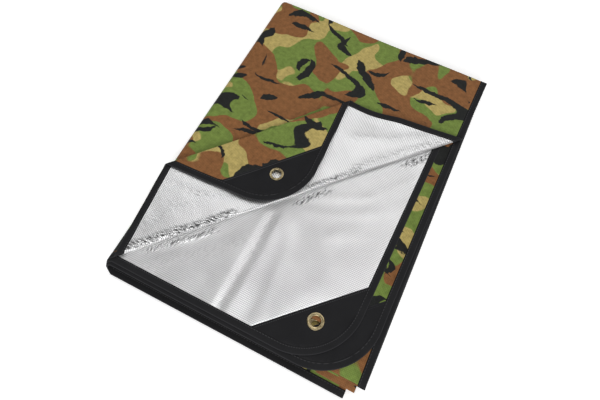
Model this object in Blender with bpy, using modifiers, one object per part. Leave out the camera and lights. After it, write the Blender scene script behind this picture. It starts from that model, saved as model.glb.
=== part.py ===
"""Camouflage faced foil blanket, folded into sixteen layers, its top corner turned back twice.

The flat blanket has its corners at (0, 0) and (WIDTH, LENGTH) in its own u, v plane, and h is the height
over the middle of its thickness, towards the printed face. The corner at (0, 0) ends on top of the stack.
"""

import math

import bmesh
import bpy
from mathutils import Matrix, Vector

# Flat blanket
WIDTH = 1.524
LENGTH = 2.134
CORNER_RADIUS = 0.085
CORNER_STEPS = 8
CLOTH = 0.001
CORNERS = ((0, 0), (1, 0), (1, 1), (0, 1))

# Corners in the order of their layers, from the top one down
NUMBERED_CORNERS = ((0, 0), (0, 1), (1, 1), (1, 0))

# Edge binding and corner patches, butted to the cloth
TAPE = 0.0013
TAPE_WIDTH = 0.0105
PATCH_LEG = 0.125
GAP = 0.0003

# Eyelets, each turned from one profile
EYELET_INSET = 0.053
HOLE_RADIUS = 0.007
BARREL_WALL = 0.0007
FLANGE_RADIUS = 0.01275
FLANGE_THICK = 0.0006
HOLE_EDGE_DROP = 0.0004
HOLE_EDGE_WIDTH = 0.0006
RIM_WIDTH = 0.0008
RIM_DROP = 0.0001
RIM_EDGE = 0.0001
RIM_UNDERCUT = 0.0003
EYELET_STEPS = 20
SLOPE_STEP = 0.0066
PATCH_HOLE_STEPS = 16

# Folded stack: a cell is one sixteenth of the blanket
CELL_X = WIDTH / 4
CELL_Y = LENGTH / 4
PITCH = 0.0017
FOLD_BULGE = 0.8
STACK_X = 0.1905
STACK_Y = -0.2673
MIDDLE_X = -0.00246
MIDDLE_Y = -0.00066

# Half folds: the line, the length of cloth the bend takes, and the flat steps it is cut into
LENGTH_HALF = (2 * CELL_Y, 0.0024, 4)
WIDTH_HALF = (2 * CELL_X, 0.0048, 4)
TOP_FOLD = (CELL_Y, 0.009, 6)
LEFT_FOLD = (CELL_X, 0.016, 8)
FLAT_X = CELL_X - LEFT_FOLD[1] / 2
FLAT_Y = CELL_Y - TOP_FOLD[1] / 2

# Steps across each cell of the flat blanket, alike so that stacked layers are cut above each other
CELL_STEPS_X = 5
CELL_STEPS_Y = 6

# Stations along a quarter of the blanket, from its corner, where INSETS gives a value
ALONG_Y = (0.0, CELL_Y, 2 * CELL_Y)
ALONG_X = (0.0, CELL_X, 2 * CELL_X)
ALONG_BOTTOM = (0.0, FLAT_X, CELL_X + LEFT_FOLD[1] / 2, 2 * CELL_X)
RIGID = 0.150

# Millimetres that each quarter stops short of the square stack: its bound right edge at ALONG_Y,
# bound bottom edge at ALONG_BOTTOM, folded end at ALONG_X and folded side at ALONG_Y
INSETS = {
    "first": {"right": (16, 5, 0), "bottom": (12, 20, -1, 0), "far": (21, 17, 12), "side": (20, 15, 10)},
    "second": {"right": (40, 30, 0), "bottom": (15, 14, 0, 2), "far": (21, 17, 12), "side": (23, 17, 10)},
    "third": {"right": (10, 7.5, 1), "bottom": (9.5, 9, 1, 2), "far": (23, 19, 12), "side": (23, 17, 10)},
    "fourth": {"right": (39, 12, 1), "bottom": (9.5, 10, -1, 0), "far": (23, 19, 12), "side": (20, 15, 10)},
}

# The two creases that turn the top corner back: a point, the direction and the bend radius
TURN_UP = {"at": (-0.181, -0.2420), "angle": math.radians(47.1), "radius": 0.0022}
TURN_BACK = {"at": (-0.1905, -0.0985), "angle": math.radians(229.0), "radius": 0.0020}
CREASE_STEPS = 5
INVERSE_ROUNDS = 12

MILLIMETRE = 0.001
SAME_POINT = 0.000001
SEAM_MERGE = 0.00001

# Heights added to the even stack
TOP_LAYER = 15 * PITCH
EYELET_ROOM = 0.0009
EYELET_ROOM_FROM = 11 * PITCH
EYELET_ROOM_LAYERS = 4.0
EYELET_ROOM_AT = (0.115, -0.205)
EYELET_ROOM_RADII = (0.050, 0.120)
FLAP_LIFT = 0.005
FLAP_LENGTH = 0.150
FRONT_RAISED_TO = 0.030
FRONT_LEVEL_FROM = 0.070

# Slow waves of the upper layers: height, wavelengths over X and Y, and phase
WAVES = (
    {"height": 0.0006, "x": 0.31, "y": 0.44, "phase": 0.6},
    {"height": 0.0004, "x": -0.23, "y": 0.19, "phase": 2.1},
)

COLOURS = {
    "cloth": ((0.42, 0.43, 0.42, 1.0), 0.45, 0.3),
    "binding": ((0.012, 0.012, 0.013, 1.0), 0.85, 0.0),
    "patch": ((0.013, 0.013, 0.014, 1.0), 0.80, 0.0),
    "eyelet": ((0.42, 0.36, 0.22, 1.0), 0.35, 1.0),
}


def clamp(value):
    return min(max(value, 0.0), 1.0)


def smooth(value):
    value = clamp(value)
    return value * value * (3.0 - 2.0 * value)


def between(value, stations, numbers):
    """The straight line reading, in metres, of a table row in millimetres."""
    for start, end, low, high in zip(stations, stations[1:], numbers, numbers[1:]):
        if value <= end:
            share = clamp((value - start) / (end - start))
            return MILLIMETRE * (low + (high - low) * share)
    return MILLIMETRE * numbers[-1]


def half_fold(along, height, fold, top):
    """Folds a pack in half. Cloth past the line goes under, and top is the pack's own highest layer."""
    line, taken, _ = fold
    start = line - taken / 2
    radius = height + PITCH / 2
    outer = top + PITCH / 2
    if along <= start:
        return along, outer + radius
    if along >= line + taken / 2:
        return 2 * line - along, outer - radius
    angle = math.pi * (along - start) / taken
    return start + FOLD_BULGE * radius * math.sin(angle), outer + radius * math.cos(angle)


def kept(along, rigid, flat):
    """How much of an edge's inset reaches a point: all of it near the edge, none at the fold."""
    return clamp((flat - along) / (flat - rigid))


def quarter_name(u, v):
    if u <= 2 * CELL_X:
        return "first" if v <= 2 * CELL_Y else "second"
    return "third" if v > 2 * CELL_Y else "fourth"


def inset(s, t, name):
    """Draws a quarter's edges in from the square stack, by its row of INSETS."""
    row = INSETS[name]
    rigid = 0.0 if name == "first" else RIGID
    right = between(t, ALONG_Y, row["right"]) * kept(s, rigid, FLAT_X)
    side = between(t, ALONG_Y, row["side"]) * kept(2 * CELL_X - s, RIGID, FLAT_X)
    bottom = between(s, ALONG_BOTTOM, row["bottom"]) * kept(t, rigid, FLAT_Y)
    far = between(s, ALONG_X, row["far"]) * kept(2 * CELL_Y - t, RIGID, FLAT_Y)
    return s + right - side, t + bottom - far


def crease_frame(crease):
    """A crease's point, and the unit vector across it towards the cloth that it turns over."""
    angle = crease["angle"]
    return crease["at"], (math.sin(angle), -math.cos(angle))


def turn_over(x, y, lift, crease):
    """Turns cloth past a crease up and back. Returns place, height over the layer and whether it has turned."""
    (cx, cy), (nx, ny) = crease_frame(crease)
    radius = crease["radius"]
    across = (x - cx) * nx + (y - cy) * ny
    if across <= 0.0:
        return x, y, lift, False
    bend = math.pi * radius
    if across >= bend:
        new_across = bend - across
        new_lift = 2 * radius - lift
    else:
        angle = across / radius
        new_across = (radius - lift) * math.sin(angle)
        new_lift = radius - (radius - lift) * math.cos(angle)
    return x + (new_across - across) * nx, y + (new_across - across) * ny, new_lift, across >= bend


def stack_place(u, v, h):
    """Where a point of the flat blanket lies in the even stack, and its height there."""
    t, height = half_fold(v, h, LENGTH_HALF, 0.0)
    s, height = half_fold(u, height, WIDTH_HALF, PITCH)
    s, t = inset(s, t, quarter_name(u, v))
    t, height = half_fold(t, height, TOP_FOLD, 3 * PITCH)
    s, height = half_fold(s, height, LEFT_FOLD, 7 * PITCH)
    x = STACK_X - s
    y = STACK_Y + t
    if u < FLAT_X and v < FLAT_Y:
        x, y, lift, turned = turn_over(x, y, height - TOP_LAYER, TURN_UP)
        height = TOP_LAYER + lift
        if turned:
            band = TOP_LAYER + 2 * TURN_UP["radius"]
            x, y, lift, _ = turn_over(x, y, height - band, TURN_BACK)
            height = band + lift
    return x, y, height


def added_height(x, y, height):
    """What lies between this place and an even stack: eyelet room, waves and the lifted flap."""
    share = clamp(height / TOP_LAYER)
    wave = 0.0
    for row in WAVES:
        wave += row["height"] * math.sin(2 * math.pi * (x / row["x"] + y / row["y"]) + row["phase"])
    layers_over = min(max((height - EYELET_ROOM_FROM) / PITCH, 0.0), EYELET_ROOM_LAYERS)
    near, clear = EYELET_ROOM_RADII
    distance = math.hypot(x - EYELET_ROOM_AT[0], y - EYELET_ROOM_AT[1])
    room = EYELET_ROOM * layers_over * smooth((clear - distance) / (clear - near))
    (cx, cy), (nx, ny) = crease_frame(TURN_BACK)
    from_crease = -((x - cx) * nx + (y - cy) * ny)
    above_band = height - TOP_LAYER - 2 * TURN_UP["radius"]
    lift = FLAP_LIFT * smooth(from_crease / FLAP_LENGTH) * clamp(above_band / (2 * TURN_BACK["radius"]))
    from_front = y - STACK_Y
    front = (TAPE - CLOTH) / 2 * clamp((FRONT_LEVEL_FROM - from_front) / (FRONT_LEVEL_FROM - FRONT_RAISED_TO))
    return wave * share * share + room + lift + front


def place(u, v, h=0.0):
    """Where a point of the flat blanket lies in the finished stack, which rests on Z = 0."""
    middle = stack_place(u, v, 0.0)
    x, y, height = stack_place(u, v, h)
    return Vector((x - MIDDLE_X, y - MIDDLE_Y, height + CLOTH / 2 + added_height(*middle)))


def fold_lines(size, folds, steps):
    """Every line across the flat blanket that the mesh is cut on: the bends' steps and the cells' steps."""
    lines = []
    start = 0.0
    for line, taken, bend_steps in folds:
        low = line - taken / 2
        lines += [start + (low - start) * i / steps for i in range(1, steps)]
        lines += [low + taken * i / bend_steps for i in range(bend_steps + 1)]
        start = line + taken / 2
    return lines + [start + (size - start) * i / steps for i in range(1, steps)]


def lines_x():
    return fold_lines(WIDTH, (LEFT_FOLD, WIDTH_HALF, (3 * CELL_X,) + LEFT_FOLD[1:]), CELL_STEPS_X)


def lines_y():
    return fold_lines(LENGTH, (TOP_FOLD, LENGTH_HALF, (3 * CELL_Y,) + TOP_FOLD[1:]), CELL_STEPS_Y)


def crease_planes():
    """The lines across the top layer, as it lies before it is turned back, that cut both creases' bends."""
    (ax, ay), (nx, ny) = crease_frame(TURN_UP)
    bend = math.pi * TURN_UP["radius"]
    planes = []
    for i in range(CREASE_STEPS + 1):
        w = bend * i / CREASE_STEPS
        planes.append((Vector((ax + w * nx, ay + w * ny, 0.0)), Vector((nx, ny, 0.0))))
    (bx, by), (mx, my) = crease_frame(TURN_BACK)
    for i in range(CREASE_STEPS + 1):
        w = math.pi * TURN_BACK["radius"] * i / CREASE_STEPS
        px, py = bx + w * mx, by + w * my
        mirrored = bend - 2 * ((px - ax) * nx + (py - ay) * ny)
        turn = 2 * (mx * nx + my * ny)
        point = Vector((px + mirrored * nx, py + mirrored * ny, 0.0))
        planes.append((point, Vector((mx - turn * nx, my - turn * ny, 0.0))))
    return planes


def flat_from_top_layer(x, y):
    """The point of the flat blanket that lies at x, y of the top layer before it is turned back."""
    s, t = STACK_X - x, y - STACK_Y
    u, v = s, t
    for _ in range(INVERSE_ROUNDS):
        drawn_s, drawn_t = inset(u, v, "first")
        u += s - drawn_s
        v += t - drawn_t
    return u, v


def corner_point(corner, along_u, along_v):
    """A point given by its distances from a corner's two edges."""
    far_u, far_v = corner
    return (WIDTH - along_u if far_u else along_u, LENGTH - along_v if far_v else along_v)


def corner_arc(corner, inward):
    """The rounded corner of an outline set in from the blanket's edge, from the V edge to the U edge."""
    radius = CORNER_RADIUS - inward
    points = []
    for i in range(CORNER_STEPS + 1):
        angle = math.pi / 2 * i / CORNER_STEPS
        along_u = CORNER_RADIUS - radius * math.cos(angle)
        along_v = CORNER_RADIUS - radius * math.sin(angle)
        points.append(corner_point(corner, along_u, along_v))
    return points


def ring_outline(inward):
    points = []
    for corner in CORNERS:
        arc = corner_arc(corner, inward)
        points += arc if corner in ((0, 0), (1, 1)) else arc[::-1]
    return points


def cloth_outline():
    edge = TAPE_WIDTH + GAP
    leg = PATCH_LEG + GAP * math.sqrt(2.0)
    points = []
    for corner in CORNERS:
        ends = [corner_point(corner, edge, leg), corner_point(corner, leg, edge)]
        points += ends if corner in ((0, 0), (1, 1)) else ends[::-1]
    return points


def patch_outlines(corner):
    edge = TAPE_WIDTH + GAP
    outline = corner_arc(corner, edge)
    outline = [corner_point(corner, edge, PATCH_LEG)] + outline + [corner_point(corner, PATCH_LEG, edge)]
    radius = HOLE_RADIUS + BARREL_WALL + 2 * GAP
    centre = corner_point(corner, EYELET_INSET, EYELET_INSET)
    hole = []
    for i in range(PATCH_HOLE_STEPS):
        angle = 2 * math.pi * i / PATCH_HOLE_STEPS
        hole.append((centre[0] + radius * math.cos(angle), centre[1] + radius * math.sin(angle)))
    return outline, hole


def add_loop(mesh, points):
    verts = [mesh.verts.new((u, v, 0.0)) for u, v in points]
    return [mesh.edges.new((a, b)) for a, b in zip(verts, verts[1:] + verts[:1])]


def cut_faces(mesh, faces, plane):
    point, normal = plane
    geometry = set(faces)
    for face in faces:
        geometry.update(face.edges)
        geometry.update(face.verts)
    bmesh.ops.bisect_plane(mesh, geom=list(geometry), plane_co=point, plane_no=normal, dist=SAME_POINT)


def cut_on_folds(mesh):
    for u in lines_x():
        cut_faces(mesh, mesh.faces[:], (Vector((u, 0, 0)), Vector((1, 0, 0))))
    for v in lines_y():
        cut_faces(mesh, mesh.faces[:], (Vector((0, v, 0)), Vector((0, 1, 0))))
    cut_on_creases(mesh)


def cut_on_creases(mesh):
    """Cuts the top layer along its creases, which are straight in the stack and not quite so when flat."""
    cell = []
    for face in mesh.faces:
        centre = face.calc_center_median()
        if centre.x < FLAT_X and centre.y < FLAT_Y:
            cell.append(face)
    if not cell:
        return
    for vert in {vert for face in cell for vert in face.verts}:
        s, t = inset(vert.co.x, vert.co.y, "first")
        vert.co = (STACK_X - s, STACK_Y + t, TOP_LAYER)
    for plane in crease_planes():
        cut_faces(mesh, cell, plane)
        cell = [face for face in mesh.faces if all(vert.co.z > 0.0 for vert in face.verts)]
    for vert in mesh.verts:
        if vert.co.z > 0.0:
            u, v = flat_from_top_layer(vert.co.x, vert.co.y)
            vert.co = (u, v, 0.0)


def thicken(mesh, thickness):
    for vert in mesh.verts:
        vert.co.z = -thickness / 2
    made = bmesh.ops.extrude_face_region(mesh, geom=mesh.faces[:])["geom"]
    for item in made:
        if isinstance(item, bmesh.types.BMVert):
            item.co.z = thickness / 2
    bmesh.ops.recalc_face_normals(mesh, faces=mesh.faces[:])


def fold_up(mesh):
    """Moves a flat piece into the stack, which mirrors the flat plane, so that its faces are reversed."""
    bmesh.ops.triangulate(mesh, faces=mesh.faces[:], quad_method="SHORT_EDGE")
    for vert in mesh.verts:
        vert.co = place(vert.co.x, vert.co.y, vert.co.z)
    bmesh.ops.reverse_faces(mesh, faces=mesh.faces[:])


def material(name, kind):
    colour, roughness, metallic = COLOURS[kind]
    made = bpy.data.materials.new(name)
    made.use_nodes = True
    shader = made.node_tree.nodes["Principled BSDF"]
    shader.inputs["Base Color"].default_value = colour
    shader.inputs["Roughness"].default_value = roughness
    shader.inputs["Metallic"].default_value = metallic
    return made


def add_object(name, mesh, kind, collection):
    data = bpy.data.meshes.new(name)
    mesh.to_mesh(data)
    mesh.free()
    data.materials.append(material(name, kind))
    made = bpy.data.objects.new(name, data)
    collection.objects.link(made)
    return made


def make_cloth(collection):
    mesh = bmesh.new()
    mesh.faces.new([mesh.verts.new((u, v, 0.0)) for u, v in cloth_outline()])
    cut_on_folds(mesh)
    thicken(mesh, CLOTH)
    fold_up(mesh)
    return add_object("foil_cloth", mesh, "cloth", collection)


def make_binding(collection):
    mesh = bmesh.new()
    edges = add_loop(mesh, ring_outline(0.0)) + add_loop(mesh, ring_outline(TAPE_WIDTH))
    bmesh.ops.bridge_loops(mesh, edges=edges)
    cut_on_folds(mesh)
    thicken(mesh, TAPE)
    fold_up(mesh)
    return add_object("edge_binding", mesh, "binding", collection)


def make_patch(name, corner, collection):
    mesh = bmesh.new()
    outline, hole = patch_outlines(corner)
    edges = add_loop(mesh, outline) + add_loop(mesh, hole)
    bmesh.ops.triangle_fill(mesh, use_beauty=True, use_dissolve=False, edges=edges, normal=(0, 0, 1))
    cut_on_folds(mesh)
    thicken(mesh, TAPE)
    fold_up(mesh)
    return add_object(name, mesh, "patch", collection)


def eyelet_profile():
    """Half of the closed section, from the hole's edge over the top flange to the barrel's middle."""
    clear = TAPE / 2 + GAP
    top = clear + FLANGE_THICK
    barrel = HOLE_RADIUS + BARREL_WALL
    return [
        (HOLE_RADIUS, top - HOLE_EDGE_DROP),
        (HOLE_RADIUS + HOLE_EDGE_WIDTH, top),
        (FLANGE_RADIUS - RIM_WIDTH, top - RIM_DROP),
        (FLANGE_RADIUS, clear + RIM_EDGE),
        (FLANGE_RADIUS - RIM_UNDERCUT, clear),
        (barrel, clear),
    ]


def make_eyelet(name, corner, collection):
    u, v = corner_point(corner, EYELET_INSET, EYELET_INSET)
    centre = place(u, v)
    across = (place(u + SLOPE_STEP, v) - place(u - SLOPE_STEP, v)).normalized()
    along = place(u, v + SLOPE_STEP) - place(u, v - SLOPE_STEP)
    up = across.cross(along).normalized()
    along = up.cross(across)

    upper = eyelet_profile()
    section = upper + [(radius, -height) for radius, height in reversed(upper)]
    mesh = bmesh.new()
    verts = [mesh.verts.new((radius, 0.0, height)) for radius, height in section]
    for a, b in zip(verts, verts[1:] + verts[:1]):
        mesh.edges.new((a, b))
    made = add_object(name, mesh, "eyelet", collection)
    made.matrix_world = Matrix.Translation(centre) @ Matrix((across, along, up)).transposed().to_4x4()

    screw = made.modifiers.new("turned", "SCREW")
    screw.axis = "Z"
    screw.steps = EYELET_STEPS
    screw.render_steps = EYELET_STEPS
    screw.use_merge_vertices = True
    screw.merge_threshold = SEAM_MERGE
    screw.use_normal_calculate = True
    return made


def main():
    for item in list(bpy.data.objects):
        bpy.data.objects.remove(item, do_unlink=True)
    collection = bpy.data.collections.new("folded_foil_blanket")
    bpy.context.scene.collection.children.link(collection)

    make_cloth(collection)
    make_binding(collection)
    for number, corner in enumerate(NUMBERED_CORNERS, start=1):
        make_patch(f"corner_patch_{number}", corner, collection)
        make_eyelet(f"eyelet_{number}", corner, collection)


main()
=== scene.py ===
"""Looks of the folded foil blanket: its cloth, binding, patches and eyelets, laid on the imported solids."""

import math

import bmesh
import bpy
import numpy as np
from mathutils import Matrix, Vector


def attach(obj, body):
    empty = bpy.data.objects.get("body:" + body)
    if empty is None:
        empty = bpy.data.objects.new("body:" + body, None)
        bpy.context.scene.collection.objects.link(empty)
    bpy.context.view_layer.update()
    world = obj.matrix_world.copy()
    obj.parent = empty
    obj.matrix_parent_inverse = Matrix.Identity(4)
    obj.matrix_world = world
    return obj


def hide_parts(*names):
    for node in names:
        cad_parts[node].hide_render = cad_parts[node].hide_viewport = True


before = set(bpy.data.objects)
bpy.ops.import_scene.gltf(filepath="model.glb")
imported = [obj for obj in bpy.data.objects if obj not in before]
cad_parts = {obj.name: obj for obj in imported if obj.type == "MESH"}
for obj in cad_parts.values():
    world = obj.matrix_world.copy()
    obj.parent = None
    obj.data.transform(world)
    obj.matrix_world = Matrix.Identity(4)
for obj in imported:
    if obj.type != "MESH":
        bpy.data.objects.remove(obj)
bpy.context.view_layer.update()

# Lengths are in metres, but the rows of INSETS, CREASES and BOWS are in millimetres
MILLIMETRE = 0.001
SAME_POINT = 1e-6

# Flat blanket, as in the part's source
WIDTH = 1.524
LENGTH = 2.134
CORNER_RADIUS = 0.085
TAPE_WIDTH = 0.0105
PATCH_LEG = 0.125
EYELET_INSET = 0.053

# Its corners, as far in U and far in V: in order round the edge, and in the order of their numbers
CORNERS = ((0, 0), (1, 0), (1, 1), (0, 1))
NUMBERED_CORNERS = ((0, 0), (0, 1), (1, 1), (1, 0))

# Half thickness of what is shown, and the whole thickness of the solids' cloth
CLOTH_HALF = 0.00032
PATCH_HALF = 0.00062
SOLID_CLOTH = 0.001

# Folded stack, as in the part's source
CELL_X = WIDTH / 4
CELL_Y = LENGTH / 4
PITCH = 0.0017
FOLD_BULGE = 0.8
STACK_X = 0.1905
STACK_Y = -0.2673
MIDDLE_X = -0.00246
MIDDLE_Y = -0.00066
LENGTH_HALF = (2 * CELL_Y, 0.0024)
WIDTH_HALF = (2 * CELL_X, 0.0048)
TOP_FOLD = (CELL_Y, 0.009)
LEFT_FOLD = (CELL_X, 0.016)
FLAT_X = CELL_X - LEFT_FOLD[1] / 2
FLAT_Y = CELL_Y - TOP_FOLD[1] / 2
ALONG_Y = (0.0, CELL_Y, 2 * CELL_Y)
ALONG_X = (0.0, CELL_X, 2 * CELL_X)
ALONG_BOTTOM = (0.0, FLAT_X, CELL_X + LEFT_FOLD[1] / 2, 2 * CELL_X)
RIGID = 0.150
INSETS = {
    "first": {"right": (16, 5, 0), "bottom": (12, 20, -1, 0), "far": (21, 17, 12), "side": (20, 15, 10)},
    "second": {"right": (40, 30, 0), "bottom": (15, 14, 0, 2), "far": (21, 17, 12), "side": (23, 17, 10)},
    "third": {"right": (10, 7.5, 1), "bottom": (9.5, 9, 1, 2), "far": (23, 19, 12), "side": (23, 17, 10)},
    "fourth": {"right": (39, 12, 1), "bottom": (9.5, 10, -1, 0), "far": (23, 19, 12), "side": (20, 15, 10)},
}
TURN_UP = {"at": (-0.181, -0.2420), "angle": math.radians(47.1), "radius": 0.0022}
TURN_BACK = {"at": (-0.1905, -0.0985), "angle": math.radians(229.0), "radius": 0.0020}
TOP_LAYER = 15 * PITCH
EYELET_ROOM = 0.0009
EYELET_ROOM_FROM = 11 * PITCH
EYELET_ROOM_AT = (0.115, -0.205)
EYELET_ROOM_RADII = (0.050, 0.120)
FLAP_LIFT = 0.005
FLAP_LENGTH = 0.150
FRONT_LIFT = 0.00015
WAVES = (
    {"height": 0.0006, "x": 0.31, "y": 0.44, "phase": 0.6},
    {"height": 0.0004, "x": -0.23, "y": 0.19, "phase": 2.1},
)

# Slow unevenness of the faces that show: wavelengths over X and Y, height and phase
UNEVEN = (
    {"x": 0.083, "y": 0.140, "height": 0.00026, "phase": 0.4},
    {"x": -0.061, "y": 0.095, "height": 0.00018, "phase": 1.9},
    {"x": 0.210, "y": -0.052, "height": 0.00014, "phase": 3.3},
    {"x": 0.047, "y": 0.037, "height": 0.00009, "phase": 5.1},
)

# Ridges, and troughs of negative height, pressed into two layers: band is the foil turned up, and second is
# the foil under it. Each row has the points it runs through, its height and half width, and how crumpled the
# film is there, from 0 to 1. How crumpled it is also sets where pinches are darkened with painted shade.
VALLEY = ((-20, -78), (-20, -150), (-24, -262))
CREASES = {
    "second": (
        {"through": VALLEY, "height": 1.8, "half": 42, "crumple": 0.0},
        {"through": VALLEY, "height": -2.4, "half": 13, "crumple": 0.1},
        {"through": ((6, -80), (20, -130), (30, -250)), "height": 0.7, "half": 16, "crumple": 0.0},
        {
            "through": ((-6, -76), (54, -58), (136, -12), (166, 40)),
            "height": 1.0, "half": 13, "crumple": 0.0,
        },
        {"through": ((10, -66), (60, -88), (120, -60)), "height": 0.8, "half": 14, "crumple": 0.0},
        {"through": ((30, -40), (90, -10), (150, 62)), "height": 0.9, "half": 9, "crumple": 0.05},
        {"through": ((-160, -228), (-115, -184), (-72, -142)), "height": 1.0, "half": 8, "crumple": 0.9},
        {"through": ((-150, -245), (-60, -170), (-30, -130)), "height": 0.7, "half": 16, "crumple": 0.1},
        {"through": ((158, 116), (142, 92), (110, 56)), "height": 1.1, "half": 10, "crumple": 1.0},
        {"through": ((-6, -74), (16, -46), (44, -14)), "height": 0.9, "half": 8, "crumple": 1.0},
    ),
    "band": (
        {
            "through": ((-184, -240), (-142, -196), (-100, -155), (-60, -108)),
            "height": 1.6, "half": 11, "crumple": 0.9,
        },
        {"through": ((-186, -215), (-150, -150), (-110, -108)), "height": 0.25, "half": 18, "crumple": 0.1},
        {"through": ((-180, -120), (-130, -118), (-70, -92)), "height": -0.8, "half": 10, "crumple": 0.1},
        {"through": ((172, 143), (100, 72), (43, 14)), "height": 1.1, "half": 9, "crumple": 0.25},
        {"through": ((168, 146), (84, 92), (14, 60)), "height": 0.9, "half": 12, "crumple": 0.1},
        {"through": ((0, -48), (24, -18), (70, 32)), "height": 0.8, "half": 7, "crumple": 0.7},
        {"through": ((170, 158), (90, 128), (20, 112)), "height": 0.6, "half": 12, "crumple": 0.0},
    ),
}

# Over what length a row fades out at each end, and a distance that is past any row's reach
CREASE_END = 0.022
NOT_NEAR = 1.0

# Where relief begins: on the second layer beside the first crease, and on the band within that crease's turn
BLEND_START = 0.25
HALF_TURNED = 0.5

# Where a free edge bows in: the layer, the middle of the bow, its reach and its shift, over X and Y
BOWS = (
    {"layer": "band", "at": (40, 128), "reach": (48, 46), "shift": (-1.0, -4.5)},
)

# Cloth mesh: steps on the cells that show and on the others, parts of each bend, and which cells show
FINE_STEP = 0.0043
COARSE_STEP = 0.045
U_BENDS = (12, 6, 12)
V_BENDS = (10, 6, 10)
FINE_U_CELLS = (0,)
FINE_V_CELLS = (0, 3)

# Cuts along the creases: parts of each crease's bend, rounds that find a point's flat place, how far from a
# cut faces are looked for, and the height that marks the top layer while it is cut
CREASE_STEPS = 8
INVERSE_ROUNDS = 12
CUT_REACH = 3 * FINE_STEP
TOP_MARK = 1.0

# Cloth: how far in from the blanket's edge it stops, how far it goes under a patch, its foil's material
# slot, and the normal below which a face looks down
CLOTH_EDGE = 0.0012
PATCH_OVERLAP = 0.004
FOIL_SLOT = 1
LOOKS_DOWN = -0.5

# Binding and patches, with their sections: distance in from the edge and half thickness, sunk at the seam
EDGE_STEP = 0.0100
CORNER_STEPS = 30
TAPE_SEAM = 0.0084
TAPE_SECTION = (
    (0.0, 0.00012), (0.00018, 0.00045), (0.0006, 0.00064), (0.0016, 0.00072),
    (0.0045, 0.00070), (0.0072, 0.00070), (0.0080, 0.00066), (TAPE_SEAM, 0.00050),
    (0.0088, 0.00066), (0.0095, 0.00071), (0.0102, 0.00062), (0.0105, 0.00036),
)
PATCH_TUCK = 0.0006
PATCH_HOLE = 0.0079
PATCH_STEP = 0.0050
PATCH_SEAM = 0.0031
PATCH_SECTION = (
    (0.0, 0.00034), (0.0004, 0.00056), (0.0010, 0.00062), (0.0026, 0.00061),
    (PATCH_SEAM, 0.00047), (0.0036, 0.00061), (0.0060, 0.00062), (0.2, 0.00062),
)
HOLE_STEPS = 40

# Eyelets: a flange on each side, domed and drooping to its rim, and a rolled edge round the hole
FOIL_FLANGE = 0.0114
PRINTED_FLANGE = 0.0102
EYELET_STEPS = 72
ROLL_STEPS = 10
ROLL_RADIUS = 0.0007
ROLL_AT = 0.0077
FLANGE_TOP = 0.00150
FLANGE_DOME = 0.0005
DOME_TURN = 0.8
FLANGE_DROOP = 0.0002
RIM_SLOPE = 0.00008
SEAT_STEP = EYELET_INSET / 8

# Looks. Colours are linear. A noise is its scale, detail and roughness. A warp is the scale of a noise, how
# far that moves what is drawn on it, and its detail. A mask is a threshold and its blur. A bump is its
# strength and distance.
UNTURNED = (0.0, 0.0, 0.0)
EVEN = (1.0, 1.0, 1.0)

# Printed face: camouflage, its twigs, then thread, fading and surface
BROWN = (0.235, 0.101, 0.036)
GREEN = (0.166, 0.235, 0.050)
TAN = (0.460, 0.362, 0.122)
INK = (0.015, 0.016, 0.015)
LOBE_WARP = (10.5, 0.055)
LOBE_EDGE_WARP = (55.0, 0.005)
FIELDS = (
    {"colour": GREEN, "noise": (14.0, 1.0), "offset": (3.1, 1.7, 0.0), "mask": (0.450, 0.006)},
    {"colour": BROWN, "noise": (13.5, 1.0), "offset": (7.3, 4.2, 0.0), "mask": (0.507, 0.006)},
)
TWIGS = (
    {"scale": 10.5, "offset": (0.3, 0.7, 0.0), "turn": 0.5, "width": 0.36},
    {"scale": 12.5, "offset": (5.1, 2.2, 0.0), "turn": -0.7, "width": 0.33},
)
TWIG_WARP = (14.0, 0.030)
TWIG_EDGE_WARP = (130.0, 0.007, 3.0)
TWIG_STRETCH = (0.75, 1.5, 1.0)
TWIG_CUT_SCALE = 1.6
TWIG_CUT = 0.49
TWIG_WIDEST = 0.045
TWIG_BLUR = 0.004
PRINT_PITCH = 0.0022
PRINT_THREAD_WARP = (60.0, 0.0010)
THREAD_SHARE = 0.25
FADE_NOISE = (140.0, 5.0, 0.7)
FADE_RANGE = (0.25, 0.80)
FADE_VALUES = (0.50, 1.50)
PRINT_ROUGHNESS = 0.70
PRINT_SPECULAR = 0.20
PRINT_BUMP = (0.35, 0.0003)

# Foil face: film over a scrim with more threads one way, cloudy and patchy. Where it is crumpled, it has
# pinches that lie across the first crease, bumped and darkened with painted shade.
FOIL_ROUGHNESS = (0.28, 0.36)
FOIL_METALLIC = 0.92
CLOUD_NOISE = (18.0, 4.0)
FOIL_PITCH = 0.0025
FOIL_ROWS = 0.72
FOIL_THREAD_WARP = (30.0, 0.0012)
WOVEN_MASK = (0.50, 0.40)
WOVEN_BUMP = (0.8, 0.0005)
PATCHY_NOISE = (11.0, 3.0)
PATCHY_MASK = (0.50, 0.16)
FILM = (0.92, 0.92, 0.92)
FILM_BETWEEN_THREADS = (0.62, 0.62, 0.63)
FILM_DARKER = (0.36, 0.36, 0.37)
# Painted shade: the near-black that crumpled pinches are mixed to
FILM_PAINTED_SHADE = (0.020, 0.020, 0.022)
PINCH_TURN = math.radians(-42.0)
PINCH_STRETCH = (1.0, 0.35, 1.0)
PINCH_NOISE = (330.0, 1.0, 0.6)
PINCH_MASK = (0.45, 0.05)
PINCH_DEPTH = 0.0080
SWELL_NOISE = (45.0, 5.0, 0.55)
SWELL_BUMP = (0.35, 0.0016)

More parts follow.
